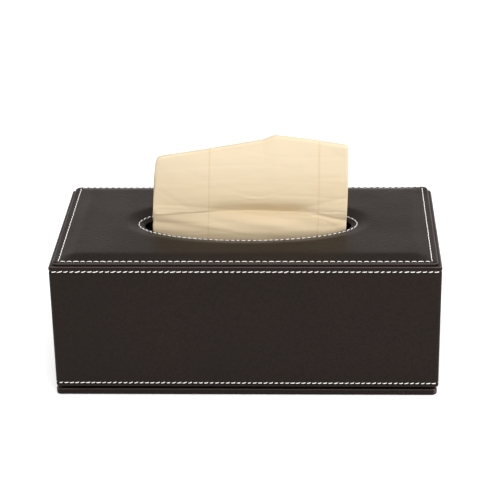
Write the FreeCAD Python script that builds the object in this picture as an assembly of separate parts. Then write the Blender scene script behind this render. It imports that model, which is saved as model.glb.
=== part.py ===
import FreeCAD, Part
import math
import os

# Leather tissue box cover: four boards in a stitched leather wrap, a padded lid with an oval
# slot, a base flap hinged along the back and held shut by magnets, and the tissues inside.
# Millimetres, +Z up, +X to the right, -Y to the front.
# The origin is the centre of the underside of the base flap.

V = FreeCAD.Vector

# Walls
LENGTH = 260.0
WIDTH = 130.0
WALL_HEIGHT = 90.8
WALL_BOARD = 3.2
WALL_BOARD_CORNER_R = 1.2
WALL_BOARD_EDGE_R = 0.8
WALL_HEM = 12.0

# Sheet stock
LEATHER = 0.8
FELT = 0.8

# Lid
LID_INSET_X = 2.6
LID_INSET_Y = 0.4
LID_BOARD = 1.0
LID_BOARD_CORNER_R = 2.7
LID_BOARD_EDGE_R = 0.4
LID_HEM = 12.0
LID_STITCH_IN_X = 4.2
LID_STITCH_IN_Y = 1.9
PAD_RISE = 2.0
PAD_RUN = 13.0
PAD_STEPS = 4
PAD_CORNER_R = 2.0
SEAM_FLAT = 1.0

# Slot, an ellipse given by the half axes of its stitch line
SLOT_STITCH_A = 75.9
SLOT_STITCH_B = 27.9
SLOT_LIP = 4.0
SLOT_HEM = 8.0
SLOT_RUN = 9.0

# Base flap
FLAP_INSET = 1.1
FLAP_BOARD = 2.8
FLAP_BOARD_CORNER_R = 1.4
FLAP_BOARD_EDGE_R = 0.6
FLAP_HEM = 14.0
FLAP_GAP = 2.0

# Hinge strip
HINGE_END_MARGIN = 15.0
HINGE_WALL_LEAF = 16.0
HINGE_FLAP_LEAF = 14.0

# Catch
MAGNET_LENGTH = 20.0
MAGNET_THICK = 2.0
MAGNET_HEIGHT = 3.0
MAGNET_FROM_END = 50.0
PLATE_LENGTH = 24.0
PLATE_WIDTH = 8.0
PLATE_THICK = 1.0
PLATE_MARGIN = 1.0

# Stitches
STITCH_SPACE = 0.6
STITCH_WIDTH = 0.7
STITCH_PROUD = 0.35
STITCH_SLANT = 8.0
TOP_STITCH_PITCH = 3.9
BOTTOM_STITCH_PITCH = 3.65
LID_STITCH_PITCH = 4.4
SLOT_STITCH_PITCH = 3.7
TOP_STITCH_DROP = 3.7
BOTTOM_STITCH_RISE = 3.7
WALL_STITCH_END = 1.6
LID_STITCH_END = 0.6

# Tissues
STACK_HEIGHT = 50.0
STACK_SIDE_ROOM = 11.2
STACK_FOLD_R = 4.0
SHEET_THICK = 0.8
SHEET_END_ROOM = 5.6
SHEET_SHIFT_X = 1.0
SHEET_FOOT_Y = -2.0
SHEET_THROAT_Y = -8.6
SHEET_THROAT_DROP = 4.0
SHEET_PUFF_Y = -9.0
SHEET_PUFF_RISE = 5.0
SHEET_CREASE_Y = -4.8
SHEET_CREASE_RISE = 14.0
SHEET_BELLY_Y = -8.0
SHEET_FOLD_R = 3.0
SHEET_FOLD_STEPS = 4
SHEET_TAIL_Y = 13.0
SHEET_TAIL_DROP = 42.0
SHEET_END_FLATNESS = 0.5

# One row for each line down the raised sheet: its place as a share of the sheet's half width,
# how far it leans to the right for each mm of height, and the height of its fold above the rim.
SHEET_LINES = [
    (-0.99, 0.030, 46.0),
    (-0.93, 0.030, 53.0),
    (0.14, 0.024, 64.5),
    (0.27, 0.022, 67.8),
    (0.53, 0.020, 65.9),
    (0.955, 0.016, 61.3),
    (0.995, 0.016, 58.2),
]

# Levels and outlines worked out from the sizes
FLAP_BOARD_LOW = LEATHER
FLAP_BOARD_TOP = FLAP_BOARD_LOW + FLAP_BOARD
FLAP_TOP = FLAP_BOARD_TOP + LEATHER
WALL_LOW = FLAP_TOP + FLAP_GAP
RIM = WALL_LOW + WALL_HEIGHT
LID_BOARD_LOW = RIM + LEATHER
LID_BOARD_TOP = LID_BOARD_LOW + LID_BOARD
LID_SEAM = LID_BOARD_TOP + LEATHER
STACK_LOW = FLAP_BOARD_TOP + FELT
STACK_TOP = STACK_LOW + STACK_HEIGHT

WALL_CORNER_R = WALL_BOARD_CORNER_R + LEATHER
WALL_EDGE_R = WALL_BOARD_EDGE_R + LEATHER
LID_CORNER_R = LID_BOARD_CORNER_R + LEATHER
LID_EDGE_R = LID_BOARD_EDGE_R + LEATHER
FLAP_CORNER_R = FLAP_BOARD_CORNER_R + LEATHER
FLAP_EDGE_R = FLAP_BOARD_EDGE_R + LEATHER

CORE_LENGTH = LENGTH - 2 * LEATHER
CORE_WIDTH = WIDTH - 2 * LEATHER
INNER_LENGTH = CORE_LENGTH - 2 * WALL_BOARD
INNER_WIDTH = CORE_WIDTH - 2 * WALL_BOARD
LID_LENGTH = LENGTH - 2 * LID_INSET_X
LID_WIDTH = WIDTH - 2 * LID_INSET_Y
SEAM_LENGTH = LID_LENGTH - 2 * LID_STITCH_IN_X
SEAM_WIDTH = LID_WIDTH - 2 * LID_STITCH_IN_Y
SLOT_A = SLOT_STITCH_A - SLOT_LIP
SLOT_B = SLOT_STITCH_B - SLOT_LIP
FLAP_LENGTH = LENGTH - 2 * FLAP_INSET
FLAP_WIDTH = WIDTH - 2 * FLAP_INSET
HINGE_LENGTH = LENGTH - 2 * HINGE_END_MARGIN
MAGNET_X = LENGTH / 2 - MAGNET_FROM_END
SHEET_HALF_WIDTH = SLOT_A - SHEET_END_ROOM
STACK_LENGTH = 2 * SHEET_HALF_WIDTH
STACK_WIDTH = INNER_WIDTH - 2 * FELT - 2 * STACK_SIDE_ROOM


def block(x_low, x_high, y_low, y_high, z_low, z_high):
    """Rectangular block between two corners."""
    size = (x_high - x_low, y_high - y_low, z_high - z_low)
    return Part.makeBox(*size, V(x_low, y_low, z_low))


def rounded_outline(length, width, radius, z):
    """Rectangle about the Z axis with quarter-round corners."""
    x = length / 2
    y = width / 2
    cut = radius * (1 - math.sqrt(0.5))
    return Part.Wire([
        Part.LineSegment(V(radius - x, -y, z), V(x - radius, -y, z)).toShape(),
        Part.Arc(V(x - radius, -y, z), V(x - cut, cut - y, z), V(x, radius - y, z)).toShape(),
        Part.LineSegment(V(x, radius - y, z), V(x, y - radius, z)).toShape(),
        Part.Arc(V(x, y - radius, z), V(x - cut, y - cut, z), V(x - radius, y, z)).toShape(),
        Part.LineSegment(V(x - radius, y, z), V(radius - x, y, z)).toShape(),
        Part.Arc(V(radius - x, y, z), V(cut - x, y - cut, z), V(-x, y - radius, z)).toShape(),
        Part.LineSegment(V(-x, y - radius, z), V(-x, radius - y, z)).toShape(),
        Part.Arc(V(-x, radius - y, z), V(cut - x, cut - y, z), V(radius - x, -y, z)).toShape(),
    ])


def rounded_slab(length, width, radius, z_low, z_high):
    """Upright slab on a rounded rectangle."""
    return Part.Face(rounded_outline(length, width, radius, z_low)).extrude(V(0, 0, z_high - z_low))


def oval_outline(half_x, half_y, z):
    """Ellipse about the Z axis."""
    return Part.Wire(Part.Ellipse(V(0, 0, z), half_x, half_y).toShape())


def oval_slab(half_x, half_y, z_low, z_high):
    """Upright slab on an ellipse."""
    return Part.Face(oval_outline(half_x, half_y, z_low)).extrude(V(0, 0, z_high - z_low))


def soften(slab, radius, *levels):
    """Round the edges of a slab that lie flat at the given levels."""
    edges = []
    for edge in slab.Edges:
        box = edge.BoundBox
        for level in levels:
            if abs(box.ZMin - level) < 1e-6 and abs(box.ZMax - level) < 1e-6:
                edges.append(edge)
    return slab.makeFillet(radius, edges)


def wall_core():
    """Block that the four wall boards are cut from."""
    low = WALL_LOW + LEATHER
    high = RIM - LEATHER
    core = rounded_slab(CORE_LENGTH, CORE_WIDTH, WALL_BOARD_CORNER_R, low, high)
    return soften(core, WALL_BOARD_EDGE_R, low, high)


def magnet_blocks():
    """Two bar magnets at the foot of the front board, against its inner face."""
    inner = -INNER_WIDTH / 2
    low = WALL_LOW + LEATHER
    blocks = []
    for x in (-MAGNET_X, MAGNET_X):
        half = MAGNET_LENGTH / 2
        blocks.append(block(x - half, x + half, inner - MAGNET_THICK, inner, low, low + MAGNET_HEIGHT))
    return Part.makeCompound(blocks)


def wall_boards():
    """Front and back boards run the full length, the end boards fit between them."""
    core = wall_core()
    x_out = CORE_LENGTH / 2
    x_in = INNER_LENGTH / 2
    y_out = CORE_WIDTH / 2
    y_in = INNER_WIDTH / 2
    front = core.common(block(-x_out, x_out, -y_out, -y_in, WALL_LOW, RIM))
    back = core.common(block(-x_out, x_out, y_in, y_out, WALL_LOW, RIM))
    left = core.common(block(-x_out, -x_in, -y_in, y_in, WALL_LOW, RIM))
    right = core.common(block(x_in, x_out, -y_in, y_in, WALL_LOW, RIM))
    return {
        "front_board": front.cut(magnet_blocks()),
        "back_board": back,
        "left_board": left,
        "right_board": right,
        "wall_magnets": magnet_blocks(),
    }


def wall_linings():
    """Felt panels glued inside the boards, between the turned-in hems."""
    x_out = INNER_LENGTH / 2
    y_out = INNER_WIDTH / 2
    x_in = x_out - FELT
    y_in = y_out - FELT
    low = WALL_LOW + WALL_HEM
    high = RIM - WALL_HEM
    return {
        "front_lining": block(-x_out, x_out, -y_out, -y_in, low, high),
        "back_lining": block(-x_out, x_out, y_in, y_out, low, high),
        "left_lining": block(-x_out, -x_in, -y_in, y_in, low, high),
        "right_lining": block(x_in, x_out, -y_in, y_in, low, high),
    }


def hinge_strip():
    """Leather strip that runs down the back wall, over the groove and under the flap."""
    wall = WIDTH / 2
    flap = WIDTH / 2 - FLAP_INSET
    lip = wall - WALL_EDGE_R
    nose = flap - FLAP_EDGE_R
    end = nose - HINGE_FLAP_LEAF
    seam = WALL_LOW + HINGE_WALL_LEAF
    bend = WALL_LOW + WALL_EDGE_R
    diagonal = math.sqrt(0.5)
    x = -HINGE_LENGTH / 2

    def line(a, b):
        return Part.LineSegment(V(x, *a), V(x, *b)).toShape()

    def arc(centre, radius, a, b):
        middle = (centre[0] + radius * diagonal, centre[1] - radius * diagonal)
        return Part.Arc(V(x, *a), V(x, *middle), V(x, *b)).toShape()

    outline = Part.Wire([
        line((wall, seam), (wall, bend)),
        arc((lip, bend), WALL_EDGE_R, (wall, bend), (lip, WALL_LOW)),
        line((lip, WALL_LOW), (flap, FLAP_TOP)),
        line((flap, FLAP_TOP), (flap, FLAP_EDGE_R)),
        arc((nose, FLAP_EDGE_R), FLAP_EDGE_R, (flap, FLAP_EDGE_R), (nose, 0)),
        line((nose, 0), (end, 0)),
        line((end, 0), (end, LEATHER)),
        line((end, LEATHER), (nose, LEATHER)),
        arc((nose, FLAP_EDGE_R), FLAP_BOARD_EDGE_R, (nose, LEATHER), (flap - LEATHER, FLAP_EDGE_R)),
        line((flap - LEATHER, FLAP_EDGE_R), (flap - LEATHER, WALL_LOW + LEATHER)),
        line((flap - LEATHER, WALL_LOW + LEATHER), (lip, WALL_LOW + LEATHER)),
        arc((lip, bend), WALL_BOARD_EDGE_R, (lip, WALL_LOW + LEATHER), (wall - LEATHER, bend)),
        line((wall - LEATHER, bend), (wall - LEATHER, seam)),
        line((wall - LEATHER, seam), (wall, seam)),
    ])
    return Part.Face(outline).extrude(V(HINGE_LENGTH, 0, 0))


def wall_wrap():
    """Leather loop round the boards, its hems turned in over the top and bottom edges."""
    outer = rounded_slab(LENGTH, WIDTH, WALL_CORNER_R, WALL_LOW, RIM)
    outer = soften(outer, WALL_EDGE_R, WALL_LOW, RIM)
    x_in = INNER_LENGTH / 2
    y_in = INNER_WIDTH / 2
    boards = wall_core().cut(block(-x_in, x_in, -y_in, y_in, WALL_LOW, RIM))
    x_hem = x_in - LEATHER
    y_hem = y_in - LEATHER
    cavity = block(-x_hem, x_hem, -y_hem, y_hem, WALL_LOW, RIM)
    linings = block(-x_in, x_in, -y_in, y_in, WALL_LOW + WALL_HEM, RIM - WALL_HEM)
    return outer.cut([boards, cavity, linings, hinge_strip()])


def crowned_pad(z_low):
    """Padding between the edge seam and the slot seam, rising as a quarter sine from both."""
    edge_length = SEAM_LENGTH - 2 * SEAM_FLAT
    edge_width = SEAM_WIDTH - 2 * SEAM_FLAT
    half_x = SLOT_STITCH_A + SEAM_FLAT
    half_y = SLOT_STITCH_B + SEAM_FLAT
    edge_levels = []
    slot_levels = []
    for step in range(PAD_STEPS + 1):
        share = step / PAD_STEPS
        z = z_low + PAD_RISE * math.sin(share * math.pi / 2)
        inset = 2 * PAD_RUN * share
        edge_levels.append(rounded_outline(edge_length - inset, edge_width - inset, PAD_CORNER_R, z))
        out = SLOT_RUN * share
        slot_levels.append(oval_outline(half_x + out, half_y + out, z))
    pad = Part.makeLoft(edge_levels, True, True)
    funnel = Part.makeLoft(slot_levels, True, True)
    return pad.cut(funnel)


def lid():
    """Board and padding in leather that is turned under at the edge and at the slot."""
    corner_r = LID_BOARD_CORNER_R
    board_length = LID_LENGTH - 2 * LEATHER
    board_width = LID_WIDTH - 2 * LEATHER
    board = rounded_slab(board_length, board_width, corner_r, LID_BOARD_LOW, LID_BOARD_TOP)
    board = soften(board, LID_BOARD_EDGE_R, LID_BOARD_LOW, LID_BOARD_TOP)
    board = board.cut(oval_slab(SLOT_A + LEATHER, SLOT_B + LEATHER, LID_BOARD_LOW, LID_BOARD_TOP))
    foam = crowned_pad(LID_BOARD_TOP)

    panel_length = LID_LENGTH - 2 * LID_HEM
    panel_width = LID_WIDTH - 2 * LID_HEM
    panel_hole = oval_slab(SLOT_A + SLOT_HEM, SLOT_B + SLOT_HEM, RIM - FELT, LID_BOARD_LOW)
    recess = rounded_slab(panel_length, panel_width, corner_r, RIM, LID_BOARD_LOW).cut(panel_hole)
    lining = rounded_slab(panel_length, panel_width, corner_r, LID_BOARD_LOW - FELT, LID_BOARD_LOW)
    lining = lining.cut(panel_hole)

    shell = rounded_slab(LID_LENGTH, LID_WIDTH, LID_CORNER_R, RIM, LID_SEAM)
    shell = soften(shell, LID_EDGE_R, RIM, LID_SEAM).fuse(crowned_pad(LID_SEAM))
    hole = oval_slab(SLOT_A, SLOT_B, RIM, LID_SEAM)
    leather = shell.cut([board, foam, recess, hole])
    return {"lid_board": board, "lid_foam": foam, "lid_leather": leather, "lid_lining": lining}


def base_flap():
    """Board in leather, with a felt panel on top and two steel plates for the magnets."""
    board_length = FLAP_LENGTH - 2 * LEATHER
    board_width = FLAP_WIDTH - 2 * LEATHER
    corner_r = FLAP_BOARD_CORNER_R
    board = rounded_slab(board_length, board_width, corner_r, FLAP_BOARD_LOW, FLAP_BOARD_TOP)
    board = soften(board, FLAP_BOARD_EDGE_R, FLAP_BOARD_LOW, FLAP_BOARD_TOP)

    front = PLATE_MARGIN - board_width / 2
    half = PLATE_LENGTH / 2
    low = FLAP_BOARD_TOP - PLATE_THICK
    plates = []
    for x in (-MAGNET_X, MAGNET_X):
        plates.append(block(x - half, x + half, front, front + PLATE_WIDTH, low, FLAP_BOARD_TOP))

    panel_length = FLAP_LENGTH - 2 * FLAP_HEM
    panel_width = FLAP_WIDTH - 2 * FLAP_HEM
    recess = rounded_slab(panel_length, panel_width, corner_r, FLAP_BOARD_TOP, FLAP_TOP)
    lining = rounded_slab(panel_length, panel_width, corner_r, FLAP_BOARD_TOP, FLAP_BOARD_TOP + FELT)

    shell = rounded_slab(FLAP_LENGTH, FLAP_WIDTH, FLAP_CORNER_R, 0, FLAP_TOP)
    shell = soften(shell, FLAP_EDGE_R, 0, FLAP_TOP)
    return {
        "flap_board": board.cut(plates),
        "flap_cover": shell.cut([board, recess, hinge_strip()]),
        "flap_lining": lining,
        "strike_plates": Part.makeCompound(plates),
    }


def stitch(centre, along, out, pitch):
    """One stitch: a slim hexagon on the leather, turned a little out of the row's line."""
    side = out.cross(along)
    slant = math.radians(STITCH_SLANT)
    long_way = along * math.cos(slant) + side * math.sin(slant)
    cross_way = side * math.cos(slant) - along * math.sin(slant)
    tip = (pitch - STITCH_SPACE) / 2
    half = STITCH_WIDTH / 2
    shoulder = tip - half
    corners = [(-tip, 0), (-shoulder, -half), (shoulder, -half), (tip, 0), (shoulder, half), (-shoulder, half)]
    points = [centre + long_way * u + cross_way * v for u, v in corners]
    return Part.Face(Part.makePolygon(points + points[:1])).extrude(out * STITCH_PROUD)


def stitch_loop(length, width, margin, pitch, z, out_of_wall):
    """Stitches that fill the four sides of a rectangle, clear of its corners by the margin."""
    stitches = []
    sides = [(length, width, 0), (width, length, 90), (length, width, 180), (width, length, 270)]
    for run, across, turn in sides:
        count = int((run - 2 * margin) / pitch)
        spin = FreeCAD.Rotation(V(0, 0, 1), turn)
        along = spin.multVec(V(1, 0, 0))
        out = spin.multVec(V(0, -1, 0)) if out_of_wall else V(0, 0, 1)
        step = (run - 2 * margin) / count
        for index in range(count):
            place = (index - (count - 1) / 2) * step
            stitches.append(stitch(spin.multVec(V(place, -across / 2, z)), along, out, pitch))
    return Part.makeCompound(stitches)


def slot_stitches():
    """Stitches at even steps along the ellipse of the slot seam."""
    samples = 720
    angles = [2 * math.pi * k / samples for k in range(samples + 1)]
    points = [V(SLOT_STITCH_A * math.cos(a), SLOT_STITCH_B * math.sin(a), LID_SEAM) for a in angles]
    lengths = [0.0]
    for first, second in zip(points, points[1:]):
        lengths.append(lengths[-1] + first.distanceToPoint(second))
    count = int(lengths[-1] / SLOT_STITCH_PITCH)
    stitches = []
    for index in range(count):
        goal = lengths[-1] * (index + 0.5) / count
        place = next(k for k in range(samples) if lengths[k + 1] >= goal)
        along = points[place + 1] - points[place]
        along.normalize()
        stitches.append(stitch(points[place], along, V(0, 0, 1), SLOT_STITCH_PITCH))
    return Part.makeCompound(stitches)


def stitching():
    """The four rows of stitches that show."""
    high = RIM - TOP_STITCH_DROP
    low = WALL_LOW + BOTTOM_STITCH_RISE
    end = WALL_STITCH_END
    lid_end = LID_STITCH_END
    lid_pitch = LID_STITCH_PITCH
    return {
        "wall_top_stitching": stitch_loop(LENGTH, WIDTH, end, TOP_STITCH_PITCH, high, True),
        "wall_bottom_stitching": stitch_loop(LENGTH, WIDTH, end, BOTTOM_STITCH_PITCH, low, True),
        "lid_edge_stitching": stitch_loop(SEAM_LENGTH, SEAM_WIDTH, lid_end, lid_pitch, LID_SEAM, False),
        "slot_stitching": slot_stitches(),
    }


def strip_outline(line, x_at, thick):
    """Closed outline of a thin strip that follows a line of (y, z) points."""
    left = []
    right = []
    for index, (y, z) in enumerate(line):
        y_before, z_before = line[max(index - 1, 0)]
        y_after, z_after = line[min(index + 1, len(line) - 1)]
        run = math.hypot(y_after - y_before, z_after - z_before)
        y_out = -(z_after - z_before) / run * thick / 2
        z_out = (y_after - y_before) / run * thick / 2
        left.append((y + y_out, z + z_out))
        right.append((y - y_out, z - z_out))
    left[0] = (left[0][0], line[0][1])
    right[0] = (right[0][0], line[0][1])
    points = [V(x_at(z), y, z) for y, z in left + right[::-1]]
    return Part.makePolygon(points + points[:1])


def tissue_sheet():
    """Sheet drawn up out of the stack: creased above the slot, folded over and hanging behind."""
    outlines = []
    for share, lean, fold in SHEET_LINES:
        bulge = 1 - SHEET_END_FLATNESS * share * share
        top = RIM + fold
        crease = RIM + SHEET_CREASE_RISE
        line = [
            (SHEET_FOOT_Y, STACK_TOP),
            (SHEET_THROAT_Y * bulge, RIM - SHEET_THROAT_DROP),
            (SHEET_PUFF_Y * bulge, RIM + SHEET_PUFF_RISE),
            (SHEET_CREASE_Y, crease),
            (SHEET_BELLY_Y * bulge, (crease + top) / 2),
        ]
        for step in range(SHEET_FOLD_STEPS + 1):
            turn = math.pi * step / SHEET_FOLD_STEPS
            y = -SHEET_FOLD_R * math.cos(turn)
            line.append((y, top - SHEET_FOLD_R + SHEET_FOLD_R * math.sin(turn)))
        line.append((SHEET_TAIL_Y, top - SHEET_TAIL_DROP))
        foot = share * SHEET_HALF_WIDTH + SHEET_SHIFT_X
        outlines.append(strip_outline(line, lambda z: foot + lean * (z - RIM), SHEET_THICK))
    return Part.makeLoft(outlines, True, True)


def tissues():
    """Folded stack on the base flap, and the sheet drawn up from it."""
    half_x = STACK_LENGTH / 2
    half_y = STACK_WIDTH / 2
    stack = block(-half_x, half_x, -half_y, half_y, STACK_LOW, STACK_TOP)
    long_edges = [edge for edge in stack.Edges if edge.BoundBox.XLength > STACK_LENGTH / 2]
    return {"tissue_stack": stack.makeFillet(STACK_FOLD_R, long_edges), "tissue_sheet": tissue_sheet()}


def main():
    parts = {"wall_wrap": wall_wrap(), "hinge_strip": hinge_strip()}
    parts.update(wall_boards())
    parts.update(wall_linings())
    parts.update(lid())
    parts.update(base_flap())
    parts.update(stitching())
    parts.update(tissues())
    os.makedirs("parts", exist_ok=True)
    for name, shape in parts.items():
        shape.exportStep("parts/" + name + ".step")


main()
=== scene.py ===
"""Stitched leather tissue box cover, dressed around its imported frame.

Every piece is a surface worked out on a grid in metres, in the frame's own axes: +X to the right,
-Y to the front, +Z up. The frame gives the sizes; the values below are the maker's details.
"""
import math
from collections import namedtuple

import bpy
import numpy as np
from bpy.props import FloatProperty, FloatVectorProperty, PointerProperty
from mathutils import Matrix, Vector


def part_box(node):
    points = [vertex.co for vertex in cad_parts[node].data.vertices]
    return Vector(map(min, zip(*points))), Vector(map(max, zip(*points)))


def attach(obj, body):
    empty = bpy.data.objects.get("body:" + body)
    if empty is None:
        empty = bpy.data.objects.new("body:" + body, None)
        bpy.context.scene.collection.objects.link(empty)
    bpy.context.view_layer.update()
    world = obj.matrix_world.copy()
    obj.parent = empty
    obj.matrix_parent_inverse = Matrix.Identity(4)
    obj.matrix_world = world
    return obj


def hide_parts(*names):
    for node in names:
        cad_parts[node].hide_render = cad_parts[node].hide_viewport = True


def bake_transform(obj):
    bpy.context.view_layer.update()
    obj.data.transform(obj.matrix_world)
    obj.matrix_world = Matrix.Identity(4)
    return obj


bl_info = {
    "name": "Tissue Box Cover",
    "version": (1, 0, 0),
    "blender": (4, 5, 0),
    "location": "View3D > Sidebar > Tissue Cover",
    "description": "Leather, stitches and tissues for a tissue box cover",
    "category": "Object",
}

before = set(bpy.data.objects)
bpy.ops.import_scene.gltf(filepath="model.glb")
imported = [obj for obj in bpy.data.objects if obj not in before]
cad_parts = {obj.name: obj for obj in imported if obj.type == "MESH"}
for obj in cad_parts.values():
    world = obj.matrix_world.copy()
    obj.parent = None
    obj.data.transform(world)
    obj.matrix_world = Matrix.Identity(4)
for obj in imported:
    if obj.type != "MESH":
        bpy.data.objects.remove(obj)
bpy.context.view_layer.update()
MM = 0.001

# Sizes read from the frame
WALL_LOW, WALL_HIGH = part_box("wall_wrap")
LID_LOW, LID_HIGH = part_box("lid_leather")
LID_BOARD_LOW, LID_BOARD_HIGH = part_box("lid_board")
FLAP_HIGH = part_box("flap_cover")[1]
FLAP_BOARD_LOW, FLAP_BOARD_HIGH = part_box("flap_board")
BOARD_LOW, BOARD_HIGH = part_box("front_board")
HINGE_LOW, HINGE_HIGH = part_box("hinge_strip")
STACK_LOW, STACK_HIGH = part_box("tissue_stack")
SHEET_LOW, SHEET_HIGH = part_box("tissue_sheet")
SEAM_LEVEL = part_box("slot_stitching")[0].z
TOP_ROW = sum(corner.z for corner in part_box("wall_top_stitching")) / 2
BOTTOM_ROW = sum(corner.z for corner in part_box("wall_bottom_stitching")) / 2
RIM = LID_LOW.z
LEATHER = WALL_HIGH.x - BOARD_HIGH.x
BOARD = BOARD_HIGH.y - BOARD_LOW.y
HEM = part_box("front_lining")[0].z - WALL_LOW.z
WALL_HALF, LID_HALF, LID_BOARD_HALF, FLAP_HALF = (
    np.array(high)[:2] for high in (WALL_HIGH, LID_HIGH, LID_BOARD_HIGH, FLAP_HIGH))

# Roundings of the leather over the boards, and how far it is turned in
WALL_CORNER_R = 2.0 * MM
WALL_EDGE_R = 1.6 * MM
WALL_FOOT_R = 2.2 * MM
LID_CORNER_R = 3.5 * MM
LID_FOOT = np.array([3.0, 1.3]) * MM
LID_LIP_R = 0.6 * MM
LID_HEM = 12.0 * MM
FLAP_CORNER_R = 3.4 * MM
FLAP_EDGE_R = 1.1 * MM
FLAP_HEM = 14.0 * MM
LEAST_R = 0.15 * MM
# The flap sits a little to the left: that end of it reaches this much further
FLAP_LEFT = 1.6 * MM

# Seams: their places, the furrow that they draw in, and their stitches, whose slant in degrees and
# length differ a little
LID_SEAM_IN = np.array([4.2, 1.9]) * MM
LID_SEAM_R = 0.8 * MM
SLOT_SEAM = np.array([75.3, 28.5]) * MM
SLOT_LIP = 4.0 * MM
SLOT_HEM = 8.0 * MM
SLOT_ANGLES = np.linspace(-math.pi, math.pi, 2881)
FURROW = 0.9 * MM
TOP_PITCH = 3.9 * MM
BOTTOM_PITCH = 3.65 * MM
LID_PITCH = 4.4 * MM
SLOT_PITCH = 3.7 * MM
STITCH_SPACE = 0.8 * MM
SLANT_SPREAD, LENGTH_SPREAD = 3.5, 0.09
WALL_ROW_END = 1.6 * MM
LID_ROW_END = 0.6 * MM

# Points along the hinge band
HINGE_COLUMNS = 116
# Rows of the lid's grid over its rolled edge, its padding and its lip, and the powers of roll and lip
BAND_ROWS, PAD_ROWS, LIP_ROWS = 14, 60, 8
ROLL_POWER, LIP_POWER = 3.2, 1.3
# Fold of the leather at a corner: its start, its rise and its painted highlight line in radians, and its
# fade
PLEAT_START, PLEAT_RISE, PLEAT_HIGHLIGHT = 0.55, 0.3, 0.72
PLEAT_FADE = 3 * MM
# Strength of the painted highlight lines along the leather's edges
HIGHLIGHT_PAINT_STRENGTH = 1.1

# Ridge of the drawn-up tissue: places across from -1 to 1, and heights over the rim in mm
RIDGE_PLACES = [-1, -0.998, -0.987, -0.975, -0.959, -0.93, -0.45, 0.126, 0.225, 0.259, 0.295, 0.52,
                0.949, 0.985, 1]
RIDGE_HEIGHTS = [38, 41.8, 48.3, 51.2, 52.8, 53.5, 58.35, 64.6, 67.3, 67.7, 67.3, 65.4, 61.0, 60.5, 58.2]
# Tail behind the ridge: drops below it and places behind the middle, in mm
TAIL = ((14, 5.6), (28, 9.2), (42, 12.6))
# Crumple lines of the tissue: turn across, turn per mm of height, shift, depth in mm
CRUMPLES = [(1.1, 0.21, 0.4, 0.36), (-2.3, 0.17, 1.9, 0.32), (3.7, 0.12, 3.0, 0.28),
            (0.6, 0.31, 4.4, 0.24), (-1.2, 0.42, 5.3, 0.16)]
# Points across and along the sheet, and along its line before it is evened out
SHEET_COLUMNS, SHEET_ROWS, CURVE_SAMPLES = 161, 231, 831
# Folded tissues in the pile
LAYERS = 26

# Photographed view, and the floor's reach and its drop below the object
CAMERA_LENS_MM = 125.2
CAMERA_SENSOR_MM = 36.0
CAMERA_PLACE = np.array([49.24, -1097.68, 586.70]) * MM
CAMERA_PITCH = math.radians(24.783)
CAMERA_YAW = math.radians(2.508)
CAMERA_ROLL = math.radians(-1.059)
FLOOR_REACH = 6.0
FLOOR_DROP = 0.05 * MM

Stations = namedtuple("Stations", "tangent normal side share angle along after")


def linear(code):
    """Linear RGBA of an sRGB hex code."""
    srgb = np.array([int(code[place:place + 2], 16) for place in (1, 3, 5)]) / 255
    rgb = np.where(srgb <= 0.04045, srgb / 12.92, ((srgb + 0.055) / 1.055) ** 2.4)
    return (*(float(value) for value in rgb), 1.0)


def add(tree, kind, inputs=None, **settings):
    """Add a shader node, set its options, and fill its inputs with values, with sockets, or with the
    first live output of other nodes."""
    made = tree.nodes.new("ShaderNode" + kind)
    for name, value in settings.items():
        setattr(made, name, value)
    for key, value in (inputs or {}).items():
        if isinstance(value, bpy.types.Node):
            value = next(socket for socket in value.outputs if socket.enabled)
        if isinstance(value, bpy.types.NodeSocket):
            tree.links.new(value, made.inputs[key])
        else:
            made.inputs[key].default_value = value
    return made


def new_material(name):
    """Material with an empty node tree."""
    material = bpy.data.materials.new(name)
    material.use_nodes = True
    material.node_tree.nodes.clear()
    return material, material.node_tree


def ramp(values, start, run):
    """Cubic ease t^2 (3 - 2 t) from 0 at the start to 1 after the run. A run below 0 makes it a fall."""
    t = np.clip((values - start) / run, 0, 1)
    return t * t * (3 - 2 * t)


def bell(values, width):
    """Bell curve exp(-(v / width)^2)."""
    return np.exp(-(values / width) ** 2)


def arc(centre, radius, first, last, steps):
    """Points (inset, height) on a round between two angles in degrees, inset growing inward."""
    angle = np.radians(np.linspace(first, last, steps + 1))
    return np.column_stack([centre[0] + radius * np.cos(angle), centre[1] + radius * np.sin(angle)])


def line(first, last, steps):
    """Evenly spaced points from first to last, both included."""
    return np.linspace(np.array(first, float), np.array(last, float), steps + 1)


def grid_faces(rows, columns, wrap_rows, wrap_columns):
    """Faces of a grid of points, as corner numbers: quads row by row, joined round where it wraps. A
    grid that wraps one way only is a tube, and a face closes each of its ends."""
    number = np.arange(rows * columns).reshape(rows, columns)
    joined = np.pad(number, ((0, int(wrap_rows)), (0, int(wrap_columns))), mode="wrap")
    corners = [joined[:-1, :-1], joined[:-1, 1:], joined[1:, 1:], joined[1:, :-1]]
    faces = np.stack(corners, axis=-1).reshape(-1, 4).tolist()
    if wrap_columns and not wrap_rows:
        faces += [number[0, ::-1].tolist(), number[-1].tolist()]
    if wrap_rows and not wrap_columns:
        faces += [number[:, 0].tolist(), number[::-1, -1].tolist()]
    return faces


def repeated_faces(faces, size, count):
    """Faces of copies of a tube of that many points: all the quads, then all the ends."""
    start = np.arange(count)[:, None, None] * size
    kinds = (np.array(faces[:-2]), np.array(faces[-2:]))
    return [face for kind in kinds for face in (kind + start).reshape(-1, kind.shape[1]).tolist()]


def new_object(name, data):
    """Object in the scene that holds a mesh, a lamp or the camera."""
    made = bpy.data.objects.new(name, data)
    bpy.context.scene.collection.objects.link(made)
    return made


def new_grid(name, points, wraps, *details, **more):
    """Piece from a grid of points that wraps or doesn't, by rows and by columns."""
    return new_piece(name, points, grid_faces(*points.shape[:2], *wraps), *details, **more)


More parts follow.
